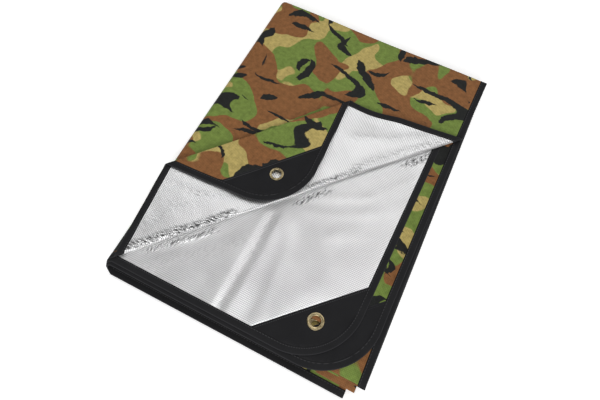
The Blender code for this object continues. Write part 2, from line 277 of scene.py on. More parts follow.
# Black tape and patches: seam is how far in from the edge the stitches run, and shadowed is where a dark
# inner edge begins, which a patch doesn't have
NOWHERE = 0.5
TAPE_LOOK = {"colour": (0.012, 0.012, 0.013), "pitch": 0.0016, "seam": TAPE_SEAM, "shadowed": 0.0100}
PATCH_LOOK = {"colour": (0.011, 0.011, 0.012), "pitch": 0.0013, "seam": PATCH_SEAM, "shadowed": NOWHERE}
SHADOW = (0.001, 0.001, 0.001)
DUST_NOISE = (35.0, 4.0)
DUSTY = 1.7
# Painted highlight along the tape's outer edge: how much lighter it is, then where it ends and its blur
EDGE_HIGHLIGHT = 2.6
EDGE_HIGHLIGHT_MASK = (0.0010, 0.0006)
SHADOW_BLUR = 0.0006
THREAD = (0.055, 0.055, 0.058)
STITCH_LENGTH = 0.0042
STITCH_HALF = 0.00036
STITCH_MASK = (-0.35, 0.15)
TAPE_ROUGHNESS = 0.70
TAPE_SPECULAR = 0.11
RIB_BUMP = (0.4, 0.0003)
STITCH_BUMP = (0.6, 0.0004)

# Brass
BRASS_DARK = (0.22, 0.17, 0.08)
BRASS_BRIGHT = (0.50, 0.41, 0.24)
BRASS_NOISE = (300.0, 3.0)
BRASS_MASK = (0.42, 0.15)
BRASS_ROUGHNESS = 0.36

# Sockets of a colour mix
MIX_SHARE = 0
MIX_FIRST = 6
MIX_SECOND = 7
MIX_RESULT = 2

# Floor and lights
WHITE = (1.0, 1.0, 1.0, 1.0)
FLOOR_SIZE = 12.0
FLOOR_COLOUR = (0.95, 0.95, 0.95, 1.0)
FLOOR_ROUGHNESS = 0.9
FLOOR_GLOW = 0.35
WORLD_STRENGTH = 0.30
LIGHTS = (
    {"name": "softbox", "at": (0.52, 1.22, 2.2), "size": 2.2, "power": 21.0},
    {"name": "key", "at": (-1.55, 0.30, 1.65), "size": 0.8, "power": 3.6},
    {"name": "front", "at": (0.5, -2.2, 1.5), "size": 1.4, "power": 42.0},
)

# Camera, fitted to the stack's outline in the photo
CAMERA_AT = (0.0937, -0.2638, 0.6032)
CAMERA_AZIMUTH = 22.69
CAMERA_ELEVATION = 68.75
CAMERA_ROLL = 4.16
FOCAL_PIXELS = 429.6
PHOTO_WIDTH = 600
SENSOR = 36.0
CLIP_START = 0.01


def smooth(value):
    value = np.clip(value, 0.0, 1.0)
    return value * value * (3.0 - 2.0 * value)


def half_fold(along, height, fold):
    """Folds a pack in half, with the cloth past the line under. Heights are from the pack's middle."""
    line, taken = fold
    start = line - taken / 2
    radius = height + PITCH / 2
    angle = math.pi * np.clip((along - start) / taken, 0.0, 1.0)
    bent = start + FOLD_BULGE * radius * np.sin(angle)
    place = np.where(along <= start, along, np.where(along >= start + taken, 2 * line - along, bent))
    return place, radius * np.cos(angle)


def kept(along, rigid, flat):
    return np.clip((flat - along) / (flat - rigid), 0.0, 1.0)


def inset_row(s, t, name):
    """Draws a quarter's edges in from the square stack, by its row of INSETS."""
    row = {edge: np.array(numbers) * MILLIMETRE for edge, numbers in INSETS[name].items()}
    rigid = 0.0 if name == "first" else RIGID
    right = np.interp(t, ALONG_Y, row["right"]) * kept(s, rigid, FLAT_X)
    side = np.interp(t, ALONG_Y, row["side"]) * kept(2 * CELL_X - s, RIGID, FLAT_X)
    bottom = np.interp(s, ALONG_BOTTOM, row["bottom"]) * kept(t, rigid, FLAT_Y)
    far = np.interp(s, ALONG_X, row["far"]) * kept(2 * CELL_Y - t, RIGID, FLAT_Y)
    return s + right - side, t + bottom - far


def inset(s, t, u, v):
    near_u, near_v = u <= 2 * CELL_X, v <= 2 * CELL_Y
    quarters = {
        "first": near_u & near_v,
        "second": near_u & ~near_v,
        "third": ~near_u & ~near_v,
        "fourth": ~near_u & near_v,
    }
    new_s, new_t = s.copy(), t.copy()
    for name, inside in quarters.items():
        new_s[inside], new_t[inside] = inset_row(s[inside], t[inside], name)
    return new_s, new_t


def crease_frame(crease):
    angle = crease["angle"]
    return crease["at"], (math.sin(angle), -math.cos(angle))


def across_crease(x, y, crease):
    (cx, cy), (nx, ny) = crease_frame(crease)
    return (x - cx) * nx + (y - cy) * ny


def turn_over(x, y, lift, crease, active):
    """Turns cloth past a crease up and back. Returns its place, height over the layer and share turned."""
    _, (nx, ny) = crease_frame(crease)
    radius = crease["radius"]
    across = across_crease(x, y, crease)
    bend = math.pi * radius
    angle = np.clip(across, 0.0, bend) / radius
    bent = (radius - lift) * np.sin(angle)
    new_across = np.where(across >= bend, bend - across, bent)
    new_lift = radius - (radius - lift) * np.cos(angle)
    moves = active & (across > 0.0)
    move = np.where(moves, new_across - across, 0.0)
    turned = np.where(moves, angle / math.pi, 0.0)
    return x + move * nx, y + move * ny, np.where(moves, new_lift, lift), turned


def stack_place(u, v, h):
    """Where points of the flat blanket lie in the even stack, and how far each crease has turned them."""
    t, height = half_fold(v, h, LENGTH_HALF)
    height = height + PITCH / 2
    s, height = half_fold(u, height, WIDTH_HALF)
    height = height + 1.5 * PITCH
    s, t = inset(s, t, u, v)
    t, height = half_fold(t, height, TOP_FOLD)
    height = height + 3.5 * PITCH
    s, height = half_fold(s, height, LEFT_FOLD)
    height = height + 7.5 * PITCH
    x, y = STACK_X - s, STACK_Y + t
    cell = (u < FLAT_X) & (v < FLAT_Y)
    x, y, lift, up = turn_over(x, y, height - TOP_LAYER, TURN_UP, cell)
    height = np.where(cell, TOP_LAYER + lift, height)
    band = TOP_LAYER + 2 * TURN_UP["radius"]
    x, y, lift, back = turn_over(x, y, height - band, TURN_BACK, up >= 1.0)
    height = np.where(up >= 1.0, band + lift, height)
    return x, y, height, up, back


def added_height(x, y, height):
    """Eyelet room, waves and the lifted flap, as in the part's source."""
    share = np.clip(height / TOP_LAYER, 0.0, 1.0)
    wave = np.zeros_like(x)
    for row in WAVES:
        wave += row["height"] * np.sin(2 * math.pi * (x / row["x"] + y / row["y"]) + row["phase"])
    layers_over = np.clip((height - EYELET_ROOM_FROM) / PITCH, 0.0, 4.0)
    near, clear = EYELET_ROOM_RADII
    distance = np.hypot(x - EYELET_ROOM_AT[0], y - EYELET_ROOM_AT[1])
    room = EYELET_ROOM * layers_over * smooth((clear - distance) / (clear - near))
    above_band = height - TOP_LAYER - 2 * TURN_UP["radius"]
    flap = np.clip(above_band / (2 * TURN_BACK["radius"]), 0.0, 1.0)
    lift = FLAP_LIFT * smooth(-across_crease(x, y, TURN_BACK) / FLAP_LENGTH) * flap
    front = FRONT_LIFT * np.clip(1.0 - (y - STACK_Y - 0.030) / 0.040, 0.0, 1.0)
    return wave * share * share + room + lift + front


def place(u, v, h):
    """Where points of the flat blanket lie in the finished stack, which rests on Z = 0."""
    u, v, h = (np.asarray(value, float) for value in (u, v, h))
    mid_x, mid_y, mid_height, up, back = stack_place(u, v, np.zeros_like(u))
    x, y, height, _, _ = stack_place(u, v, h)
    relief, _ = crease_relief(u, v)
    shift_x, shift_y = bowed(u, v)
    z = height + SOLID_CLOTH / 2 + added_height(mid_x, mid_y, mid_height) + relief
    return np.stack([x + shift_x - MIDDLE_X, y + shift_y - MIDDLE_Y, z], axis=1)


def corner_point(corner, along_u, along_v):
    """A point given by its distances from a corner's two edges."""
    far_u, far_v = corner
    return (WIDTH - along_u if far_u else along_u, LENGTH - along_v if far_v else along_v)


def stations(size, folds, bends, fine):
    """Cuts across the flat blanket: fine in the cells listed, coarse elsewhere, and steps in each bend."""
    lines = [0.0]
    start = 0.0
    ends = [(line - taken / 2, line + taken / 2) for line, taken in folds] + [(size, size)]
    for cell, (low, high) in enumerate(ends):
        step = FINE_STEP if cell in fine else COARSE_STEP
        count = max(1, round((low - start) / step))
        lines += [start + (low - start) * i / count for i in range(1, count + 1)]
        if high > low:
            lines += [low + (high - low) * i / bends[cell] for i in range(1, bends[cell] + 1)]
        start = high
    return lines


def cloth_lines():
    """Cuts across the whole blanket, over U and over V."""
    far_left = (3 * CELL_X, LEFT_FOLD[1])
    far_top = (3 * CELL_Y, TOP_FOLD[1])
    across = stations(WIDTH, (LEFT_FOLD, WIDTH_HALF, far_left), U_BENDS, FINE_U_CELLS)
    along = stations(LENGTH, (TOP_FOLD, LENGTH_HALF, far_top), V_BENDS, FINE_V_CELLS)
    return across, along


def crease_planes():
    """The lines across the top layer, as it lies before it is turned back, that cut both creases' bends."""
    (ax, ay), (nx, ny) = crease_frame(TURN_UP)
    bend = math.pi * TURN_UP["radius"]
    planes = []
    for i in range(CREASE_STEPS + 1):
        w = bend * i / CREASE_STEPS
        planes.append((Vector((ax + w * nx, ay + w * ny, 0.0)), Vector((nx, ny, 0.0))))
    (bx, by), (mx, my) = crease_frame(TURN_BACK)
    for i in range(CREASE_STEPS + 1):
        w = math.pi * TURN_BACK["radius"] * i / CREASE_STEPS
        px, py = bx + w * mx, by + w * my
        mirrored = bend - 2 * ((px - ax) * nx + (py - ay) * ny)
        turn = 2 * (mx * nx + my * ny)
        point = Vector((px + mirrored * nx, py + mirrored * ny, 0.0))
        planes.append((point, Vector((mx - turn * nx, my - turn * ny, 0.0))))
    return planes


def top_layer_place(u, v):
    s, t = inset_row(u, v, "first")
    return STACK_X - s, STACK_Y + t


def flat_from_top_layer(x, y):
    s, t = STACK_X - x, y - STACK_Y
    u, v = s.copy(), t.copy()
    for _ in range(INVERSE_ROUNDS):
        drawn_s, drawn_t = inset_row(u, v, "first")
        u += s - drawn_s
        v += t - drawn_t
    return u, v


def cut(mesh, point, normal, geometry=None):
    """Cuts a mesh, or the part of it that is given, along a plane."""
    if geometry is None:
        geometry = mesh.verts[:] + mesh.edges[:] + mesh.faces[:]
    bmesh.ops.bisect_plane(mesh, geom=geometry, plane_co=point, plane_no=normal, dist=SAME_POINT)


def in_top_layer(vert):
    return vert.co.z > TOP_MARK / 2


def cut_on_creases(mesh):
    """Cuts the top layer along its creases, which are straight in the stack and not quite so when flat."""
    cell = []
    for face in mesh.faces:
        centre = face.calc_center_median()
        if centre.x < FLAT_X and centre.y < FLAT_Y:
            cell.append(face)
    if not cell:
        return
    moved = list({vert for face in cell for vert in face.verts})
    flat = np.array([vert.co[:2] for vert in moved])
    xs, ys = top_layer_place(flat[:, 0], flat[:, 1])
    for vert, x, y in zip(moved, xs, ys):
        vert.co = (x, y, TOP_MARK)
    for point, normal in crease_planes():
        marked = point + Vector((0, 0, TOP_MARK))
        near = set()
        for vert in mesh.verts:
            if in_top_layer(vert) and abs((vert.co - marked).dot(normal)) < CUT_REACH:
                near.update(face for face in vert.link_faces if all(map(in_top_layer, face.verts)))
        geometry = set(near)
        for face in near:
            geometry.update(face.edges)
            geometry.update(face.verts)
        cut(mesh, marked, normal, list(geometry))
    moved = [vert for vert in mesh.verts if in_top_layer(vert)]
    drawn = np.array([vert.co[:2] for vert in moved])
    us, vs = flat_from_top_layer(drawn[:, 0], drawn[:, 1])
    for vert, u, v in zip(moved, us, vs):
        vert.co = (u, v, 0.0)


def smooth_shaded(mesh):
    for face in mesh.faces:
        face.smooth = True


def to_object(mesh, name, materials):
    data = bpy.data.meshes.new(name)
    mesh.to_mesh(data)
    mesh.free()
    for material in materials:
        data.materials.append(material)
    made = bpy.data.objects.new(name, data)
    bpy.context.scene.collection.objects.link(made)
    return made


def fold_up(mesh):
    """Moves a thickened flat piece into the stack, keeps its flat place as UVs, and turns its faces out."""
    uv_layer = mesh.loops.layers.uv.new("flat")
    for face in mesh.faces:
        for loop in face.loops:
            loop[uv_layer].uv = loop.vert.co[:2]
    flat = np.array([vert.co[:] for vert in mesh.verts])
    places = place(flat[:, 0], flat[:, 1], flat[:, 2])
    _, crumpled = crease_relief(flat[:, 0], flat[:, 1])
    crumple_layer = mesh.verts.layers.float.new("crumple")
    for vert, point, amount in zip(mesh.verts, places, crumpled):
        vert.co = point
        vert[crumple_layer] = amount
    bmesh.ops.reverse_faces(mesh, faces=mesh.faces[:])
    smooth_shaded(mesh)


def thicken(mesh, half_at):
    """Gives a flat piece its thickness, to both sides. half_at says half of it for each point."""
    lower = {vert: half_at(vert) for vert in mesh.verts}
    made = bmesh.ops.extrude_face_region(mesh, geom=mesh.faces[:])["geom"]
    for item in made:
        if isinstance(item, bmesh.types.BMVert):
            item.co.z = half_at(item)
    for vert, half in lower.items():
        vert.co.z = -half
    bmesh.ops.recalc_face_normals(mesh, faces=mesh.faces[:])


def layer_weights(u, v):
    """Where each point lies in the stack, and how far it belongs to each of the layers that show.

    top is the printed face left of the flap, flap is the turned tip, and CREASES says what the others are.
    """
    x, y, _, up, back = stack_place(u, v, np.zeros_like(u))
    first = (u < FLAT_X) & (v < FLAT_Y)
    second = (u < FLAT_X) & (v > LENGTH - FLAT_Y)
    clear = smooth(across_crease(x, y, TURN_UP) / CREASE_END + BLEND_START)
    weights = {
        "top": (first & (up <= 0.0)).astype(float),
        "band": first * smooth((up - HALF_TURNED) / (1.0 - HALF_TURNED)) * (back <= 0.0),
        "flap": (first & (back >= 1.0)).astype(float),
        "second": second * clear,
    }
    return x, y, weights


def bowed(u, v):
    """How far each point is shifted over X and Y where a free edge bows in."""
    x, y, weights = layer_weights(u, v)
    shift_x = np.zeros_like(x)
    shift_y = np.zeros_like(x)
    for row in BOWS:
        at, reach, shift = (np.array(row[key]) * MILLIMETRE for key in ("at", "reach", "shift"))
        distance = np.hypot((x - at[0]) / reach[0], (y - at[1]) / reach[1])
        near = weights[row["layer"]] * smooth(1.0 - distance)
        shift_x += shift[0] * near
        shift_y += shift[1] * near
    return shift_x, shift_y


def crease_relief(u, v):
    """Height added to each point, and how crumpled the film is there."""
    x, y, weights = layer_weights(u, v)
    relief = np.zeros_like(x)
    crumple = np.zeros_like(x)
    for layer, row in ((layer, row) for layer, rows in CREASES.items() for row in rows):
        through = np.array(row["through"]) * MILLIMETRE
        lengths = np.hypot(*(through[1:] - through[:-1]).T)
        done = 0.0
        nearest = np.full_like(x, NOT_NEAR)
        along = np.zeros_like(x)
        for (ax, ay), (bx, by), length in zip(through, through[1:], lengths):
            dx, dy = (bx - ax) / length, (by - ay) / length
            on_line = np.clip((x - ax) * dx + (y - ay) * dy, 0.0, length)
            distance = np.hypot(x - ax - on_line * dx, y - ay - on_line * dy)
            closer = distance < nearest
            nearest = np.where(closer, distance, nearest)
            along = np.where(closer, done + on_line, along)
            done += length
        ends = smooth(along / CREASE_END) * smooth((done - along) / CREASE_END)
        near = weights[layer] * ends * smooth(1.0 - nearest / (row["half"] * MILLIMETRE))
        relief += row["height"] * MILLIMETRE * near
        crumple += row["crumple"] * near
    wave = np.zeros_like(x)
    for row in UNEVEN:
        wave += row["height"] * np.sin(2 * math.pi * (x / row["x"] + y / row["y"]) + row["phase"])
    shown = np.clip(sum(weights.values()), 0.0, 1.0)
    return relief + wave * shown, np.clip(crumple, 0.0, 1.0)


def node(tree, kind, **values):
    made = tree.nodes.new(kind)
    for key, value in values.items():
        setattr(made, key, value)
    return made


def new_material(name):
    material = bpy.data.materials.new(name)
    material.use_nodes = True
    tree = material.node_tree
    shader = tree.nodes["Principled BSDF"]
    return material, tree, shader


def flat_coordinates(tree):
    return node(tree, "ShaderNodeUVMap", uv_map="flat").outputs["UV"]


def scaled(tree, vector, scale, offset, turn=0.0):
    mapping = node(tree, "ShaderNodeMapping")
    mapping.inputs["Scale"].default_value = scale
    mapping.inputs["Location"].default_value = offset
    mapping.inputs["Rotation"].default_value = (0.0, 0.0, turn)
    tree.links.new(vector, mapping.inputs["Vector"])
    return mapping.outputs["Vector"]


def noise(tree, vector, scale, detail=2.0, roughness=0.5):
    made = node(tree, "ShaderNodeTexNoise")
    made.inputs["Scale"].default_value = scale
    made.inputs["Detail"].default_value = detail
    made.inputs["Roughness"].default_value = roughness
    tree.links.new(vector, made.inputs["Vector"])
    return made


def cloud(tree, vector, numbers):
    return noise(tree, vector, *numbers).outputs["Fac"]


def warped(tree, vector, scale, amount, detail=2.0):
    """The coordinates moved about by a colour noise, so that what is drawn on them has wandering edges."""
    wander = noise(tree, vector, scale, detail)
    centred = node(tree, "ShaderNodeVectorMath", operation="SUBTRACT")
    centred.inputs[1].default_value = (0.5, 0.5, 0.5)
    tree.links.new(wander.outputs["Color"], centred.inputs[0])
    sized = node(tree, "ShaderNodeVectorMath", operation="SCALE")
    sized.inputs["Scale"].default_value = amount
    tree.links.new(centred.outputs[0], sized.inputs[0])
    moved = node(tree, "ShaderNodeVectorMath", operation="ADD")
    tree.links.new(vector, moved.inputs[0])
    tree.links.new(sized.outputs[0], moved.inputs[1])
    return moved.outputs[0]


def math_node(tree, operation, first, second=None, third=None):
    made = node(tree, "ShaderNodeMath", operation=operation)
    for index, value in enumerate((first, second, third)):
        if value is None:
            continue
        if isinstance(value, (int, float)):
            made.inputs[index].default_value = value
        else:
            tree.links.new(value, made.inputs[index])
    return made.outputs[0]


def step_mask(tree, value, edge, blur):
    """0 below the edge and 1 above it, with a narrow blend."""
    made = node(tree, "ShaderNodeMapRange", interpolation_type="SMOOTHSTEP")
    made.inputs["From Min"].default_value = edge - blur
    made.inputs["From Max"].default_value = edge + blur
    tree.links.new(value, made.inputs["Value"])
    return made.outputs["Result"]


def ranged(tree, value, given, wanted):
    """Maps one range of values onto another."""
    made = node(tree, "ShaderNodeMapRange")
    for label, number in zip(("From Min", "From Max", "To Min", "To Max"), given + wanted):
        made.inputs[label].default_value = number
    tree.links.new(value, made.inputs["Value"])
    return made.outputs["Result"]


def mixed(tree, share, first, second):
    made = node(tree, "ShaderNodeMix", data_type="RGBA")
    for index, value in ((MIX_FIRST, first), (MIX_SECOND, second)):
        if isinstance(value, tuple):
            made.inputs[index].default_value = (*value, 1.0)
        else:
            tree.links.new(value, made.inputs[index])
    tree.links.new(share, made.inputs[MIX_SHARE])
    return made.outputs[MIX_RESULT]


def bump(tree, height, strength, distance, below=None):
    made = node(tree, "ShaderNodeBump")
    made.inputs["Strength"].default_value = strength
    made.inputs["Distance"].default_value = distance
    tree.links.new(height, made.inputs["Height"])
    if below is not None:
        tree.links.new(below, made.inputs["Normal"])
    return made.outputs["Normal"]


def weave_height(tree, vector, pitch, rows=0.5):
    """A plain weave of that pitch. rows is the share of the threads that run along U."""
    separate = node(tree, "ShaderNodeSeparateXYZ")
    tree.links.new(vector, separate.inputs[0])
    threads = []
    for axis, share in (("X", 1.0 - rows), ("Y", rows)):
        angle = math_node(tree, "MULTIPLY", separate.outputs[axis], math.pi / pitch)
        swell = math_node(tree, "ABSOLUTE", math_node(tree, "SINE", angle))
        threads.append(math_node(tree, "MULTIPLY", swell, share))
    return math_node(tree, "ADD", *threads)


def twigs(tree, flat, scale, offset, turn, width):
    """Dark tapering strokes along the level lines of one noise, cut to lengths by another."""
    bent = warped(tree, warped(tree, flat, *TWIG_WARP), *TWIG_EDGE_WARP)
    line = cloud(tree, scaled(tree, bent, TWIG_STRETCH, offset, turn), (scale, 0.0))
    away = math_node(tree, "ABSOLUTE", math_node(tree, "SUBTRACT", line, 0.5))
    length = cloud(tree, scaled(tree, flat, EVEN, offset[::-1]), (scale * TWIG_CUT_SCALE, 0.0))
    reach = math_node(tree, "MULTIPLY", math_node(tree, "SUBTRACT", length, TWIG_CUT), width)
    inside = math_node(tree, "SUBTRACT", math_node(tree, "MINIMUM", reach, TWIG_WIDEST), away)
    return step_mask(tree, inside, 0.0, TWIG_BLUR)


def make_print():
    """Woodland camouflage of brown, green, tan and black, all from noise on the flat cloth."""
    material, tree, shader = new_material("printed_face")
    flat = flat_coordinates(tree)
    lobes = warped(tree, warped(tree, flat, *LOBE_WARP), *LOBE_EDGE_WARP)
    colour = TAN
    for row in FIELDS:
        field = cloud(tree, scaled(tree, lobes, EVEN, row["offset"]), row["noise"])
        colour = mixed(tree, step_mask(tree, field, *row["mask"]), colour, row["colour"])
    for row in TWIGS:
        colour = mixed(tree, twigs(tree, flat, **row), colour, INK)

    threads = weave_height(tree, warped(tree, flat, *PRINT_THREAD_WARP), PRINT_PITCH)
    thread_part = math_node(tree, "MULTIPLY", threads, THREAD_SHARE)
    worn = math_node(tree, "MULTIPLY_ADD", cloud(tree, flat, FADE_NOISE), 1.0 - THREAD_SHARE, thread_part)
    tint = node(tree, "ShaderNodeHueSaturation")
    tree.links.new(ranged(tree, worn, FADE_RANGE, FADE_VALUES), tint.inputs["Value"])
    tree.links.new(colour, tint.inputs["Color"])
    tree.links.new(tint.outputs["Color"], shader.inputs["Base Color"])

    shader.inputs["Roughness"].default_value = PRINT_ROUGHNESS
    shader.inputs["Specular IOR Level"].default_value = PRINT_SPECULAR
    tree.links.new(bump(tree, threads, *PRINT_BUMP), shader.inputs["Normal"])
    return material


def make_foil():
    """Aluminised film over a woven scrim: bright, softly rough, with the threads showing through, and
    painted shade in its crumpled pinches.
    """
    material, tree, shader = new_material("foil_face")
    flat = flat_coordinates(tree)
    crumpled = node(tree, "ShaderNodeAttribute", attribute_name="crumple").outputs["Fac"]
    rough = ranged(tree, cloud(tree, flat, CLOUD_NOISE), (0.0, 1.0), FOIL_ROUGHNESS)
    tree.links.new(rough, shader.inputs["Roughness"])
    shader.inputs["Metallic"].default_value = FOIL_METALLIC

    weave = weave_height(tree, warped(tree, flat, *FOIL_THREAD_WARP), FOIL_PITCH, FOIL_ROWS)
    patchy = step_mask(tree, cloud(tree, flat, PATCHY_NOISE), *PATCHY_MASK)
    shade = mixed(tree, patchy, FILM_BETWEEN_THREADS, FILM_DARKER)
    colour = mixed(tree, step_mask(tree, weave, *WOVEN_MASK), shade, FILM)
    pinches = cloud(tree, scaled(tree, flat, PINCH_STRETCH, UNTURNED, PINCH_TURN), PINCH_NOISE)
    # Painted shade: crumpled pinches are mixed to near-black
    painted_shade = math_node(tree, "SUBTRACT", 1.0, step_mask(tree, pinches, *PINCH_MASK))
    painted_shade = math_node(tree, "MULTIPLY", painted_shade, crumpled)
    tree.links.new(mixed(tree, painted_shade, colour, FILM_PAINTED_SHADE), shader.inputs["Base Color"])

    swells = bump(tree, cloud(tree, flat, SWELL_NOISE), *SWELL_BUMP)
    pinched = bump(tree, pinches, 1.0, PINCH_DEPTH, swells)
    tree.links.new(crumpled, pinched.node.inputs["Strength"])
    tree.links.new(bump(tree, weave, *WOVEN_BUMP, pinched), shader.inputs["Normal"])
    return material


def stitches(tree, flat, inward, seam):
    """1 on the stitches of a seam that far in from a piece's edge."""
    separate = node(tree, "ShaderNodeSeparateXYZ")
    tree.links.new(flat, separate.inputs[0])
    along = math_node(tree, "ADD", separate.outputs["X"], separate.outputs["Y"])
    turn = math_node(tree, "SINE", math_node(tree, "MULTIPLY", along, 2.0 * math.pi / STITCH_LENGTH))
    away = math_node(tree, "ABSOLUTE", math_node(tree, "SUBTRACT", inward, seam))
    row = math_node(tree, "SUBTRACT", 1.0, step_mask(tree, away, STITCH_HALF, STITCH_HALF / 3))
    return math_node(tree, "MULTIPLY", step_mask(tree, turn, *STITCH_MASK), row)


def lighter(colour, factor):
    return tuple(channel * factor for channel in colour)


def make_tape(name, colour, pitch, seam, shadowed):
    """Black woven tape: fine ribs, faint dust, one stitched seam, a painted highlight along its outer edge
    and a painted shadow along its inner one.
    """
    material, tree, shader = new_material(name)
    flat = flat_coordinates(tree)
    inward = node(tree, "ShaderNodeAttribute", attribute_name="inward").outputs["Fac"]
    shade = mixed(tree, cloud(tree, flat, DUST_NOISE), colour, lighter(colour, DUSTY))
    # Painted highlight: the outer edge is made lighter
    shade = mixed(tree, step_mask(tree, inward, *EDGE_HIGHLIGHT_MASK), lighter(colour, EDGE_HIGHLIGHT), shade)
    shade = mixed(tree, step_mask(tree, inward, shadowed, SHADOW_BLUR), shade, SHADOW)
    sewn = stitches(tree, flat, inward, seam)
    tree.links.new(mixed(tree, sewn, shade, THREAD), shader.inputs["Base Color"])
    shader.inputs["Roughness"].default_value = TAPE_ROUGHNESS
    shader.inputs["Specular IOR Level"].default_value = TAPE_SPECULAR
    ribs = bump(tree, weave_height(tree, flat, pitch), *RIB_BUMP)
    tree.links.new(bump(tree, sewn, *STITCH_BUMP, ribs), shader.inputs["Normal"])
    return material


def make_brass():
    material, tree, shader = new_material("antique_brass")
    spot = node(tree, "ShaderNodeTexCoord").outputs["Object"]
    worn = step_mask(tree, cloud(tree, spot, BRASS_NOISE), *BRASS_MASK)
    tree.links.new(mixed(tree, worn, BRASS_DARK, BRASS_BRIGHT), shader.inputs["Base Color"])
    shader.inputs["Metallic"].default_value = 1.0
    shader.inputs["Roughness"].default_value = BRASS_ROUGHNESS
    return material


def make_cloth(materials):
    across, along = cloth_lines()
    mesh = bmesh.new()
    columns = sorted({min(max(u, CLOTH_EDGE), WIDTH - CLOTH_EDGE) for u in across})
    rows = sorted({min(max(v, CLOTH_EDGE), LENGTH - CLOTH_EDGE) for v in along})
    grid = [[mesh.verts.new((u, v, 0.0)) for u in columns] for v in rows]
    under_patch = PATCH_LEG + TAPE_WIDTH - PATCH_OVERLAP
    for low, high in zip(grid, grid[1:]):
        for a, b, c, d in zip(low, low[1:], high[1:], high):
            u = (a.co.x + c.co.x) / 2
            v = (a.co.y + c.co.y) / 2
            if min(u, WIDTH - u) + min(v, LENGTH - v) > under_patch:
                mesh.faces.new((a, b, c, d))
    loose = [vert for vert in mesh.verts if not vert.link_faces]
    bmesh.ops.delete(mesh, geom=loose, context="VERTS")
    cut_on_creases(mesh)
    thicken(mesh, lambda vert: CLOTH_HALF)
    for face in mesh.faces:
        if face.normal.z < LOOKS_DOWN:
            face.material_index = FOIL_SLOT
    fold_up(mesh)
    return to_object(mesh, "blanket", materials)


def corner_edge(corner):
    """Points of a rounded corner with their inward directions, in order round the edge."""
    far_u, far_v = corner
    found = []
    for i in range(CORNER_STEPS + 1):
        angle = math.pi / 2 * i / CORNER_STEPS
        out_u, out_v = math.cos(angle), math.sin(angle)
        point = corner_point(corner, CORNER_RADIUS * (1 - out_u), CORNER_RADIUS * (1 - out_v))
        found.append((point, (-out_u if far_u else out_u, -out_v if far_v else out_v)))
    return found if corner in ((0, 0), (1, 1)) else found[::-1]


def edge_stations():
    """Points round the blanket's edge with their inward directions, close together where the edge shows."""
    across, along = cloth_lines()
    sides = (
        (across, (0, 1), lambda s: (s, 0.0)),
        (along, (-1, 0), lambda s: (WIDTH, s)),
        (across[::-1], (0, -1), lambda s: (s, LENGTH)),
        (along[::-1], (1, 0), lambda s: (0.0, s)),
    )
    found = []
    for corner, (lines, inward, point) in zip(CORNERS, sides):
        found += corner_edge(corner)
        size = LENGTH if inward[0] else WIDTH
        for low, high in zip(lines, lines[1:]):
            pieces = max(1, round(abs(high - low) / EDGE_STEP))
            for i in range(pieces):
                s = low + (high - low) * i / pieces
                if CORNER_RADIUS + EDGE_STEP < s < size - CORNER_RADIUS - EDGE_STEP:
                    found.append((point(s), inward))
    return found


def puffed(mesh, section):
    """Gives a flat piece a rounded thickness, read off its section."""
    layer = mesh.verts.layers.float["inward"]
    inward, halves = zip(*section)
    thicken(mesh, lambda vert: float(np.interp(vert[layer], inward, halves)))


def make_binding(materials):
    mesh = bmesh.new()
    layer = mesh.verts.layers.float.new("inward")
    grid = []
    for point, inward in edge_stations():
        line = []
        for w, _ in TAPE_SECTION:
            vert = mesh.verts.new((point[0] + inward[0] * w, point[1] + inward[1] * w, 0.0))
            vert[layer] = w
            line.append(vert)
        grid.append(line)
    for low, high in zip(grid, grid[1:] + grid[:1]):
        for a, b, c, d in zip(low, low[1:], high[1:], high):
            mesh.faces.new((a, b, c, d))
    cut_on_creases(mesh)
    puffed(mesh, TAPE_SECTION)
    fold_up(mesh)
    return to_object(mesh, "edge_tape", materials)


def make_patch(name, corner, materials):
    mesh = bmesh.new()
    layer = mesh.verts.layers.float.new("inward")
    edge = TAPE_WIDTH - PATCH_TUCK
    outline = [corner_point(corner, edge, PATCH_LEG)]
    radius = CORNER_RADIUS - edge
    for i in range(CORNER_STEPS + 1):
        angle = math.pi / 2 * i / CORNER_STEPS
        off_u, off_v = radius * math.cos(angle), radius * math.sin(angle)
        outline.append(corner_point(corner, CORNER_RADIUS - off_u, CORNER_RADIUS - off_v))
    outline.append(corner_point(corner, PATCH_LEG, edge))
    centre = corner_point(corner, EYELET_INSET, EYELET_INSET)
    hole = []
    for i in range(HOLE_STEPS):
        angle = 2 * math.pi * i / HOLE_STEPS
        hole.append((centre[0] + PATCH_HOLE * math.cos(angle), centre[1] + PATCH_HOLE * math.sin(angle)))
    edges = []
    for points in (outline, hole):
        verts = [mesh.verts.new((u, v, 0.0)) for u, v in points]
        edges += [mesh.edges.new((a, b)) for a, b in zip(verts, verts[1:] + verts[:1])]
    bmesh.ops.triangle_fill(mesh, use_beauty=True, use_dissolve=False, edges=edges, normal=(0, 0, 1))
    sign_u, sign_v = (-1 if far else 1 for far in corner)
    leg_u, leg_v = corner_point(corner, PATCH_LEG, edge)
    normal = Vector((sign_u, sign_v, 0)).normalized()
    on_edge = Vector((leg_u, leg_v, 0))
    for inward, _ in PATCH_SECTION[1:]:
        cut(mesh, on_edge - normal * inward, normal)
    for i in range(1, int(PATCH_LEG / PATCH_STEP) + 1):
        u, v = corner_point(corner, PATCH_STEP * i, PATCH_STEP * i)
        cut(mesh, (u, 0, 0), (1, 0, 0))
        cut(mesh, (0, v, 0), (0, 1, 0))
    cut_on_creases(mesh)
    for vert in mesh.verts:
        vert[layer] = max(0.0, (on_edge - vert.co).dot(normal))
    puffed(mesh, PATCH_SECTION)
    fold_up(mesh)
    return to_object(mesh, name, materials)


def lathe(mesh, section, steps):
    """Turns a closed section of (radius, height) points about Z."""
    rings = []
    for i in range(steps):
        angle = 2 * math.pi * i / steps
        rings.append([mesh.verts.new((r * math.cos(angle), r * math.sin(angle), z)) for r, z in section])
    for low, high in zip(rings, rings[1:] + rings[:1]):
        for a in range(len(section)):
            b = (a + 1) % len(section)
            mesh.faces.new((low[a], low[b], high[b], high[a]))


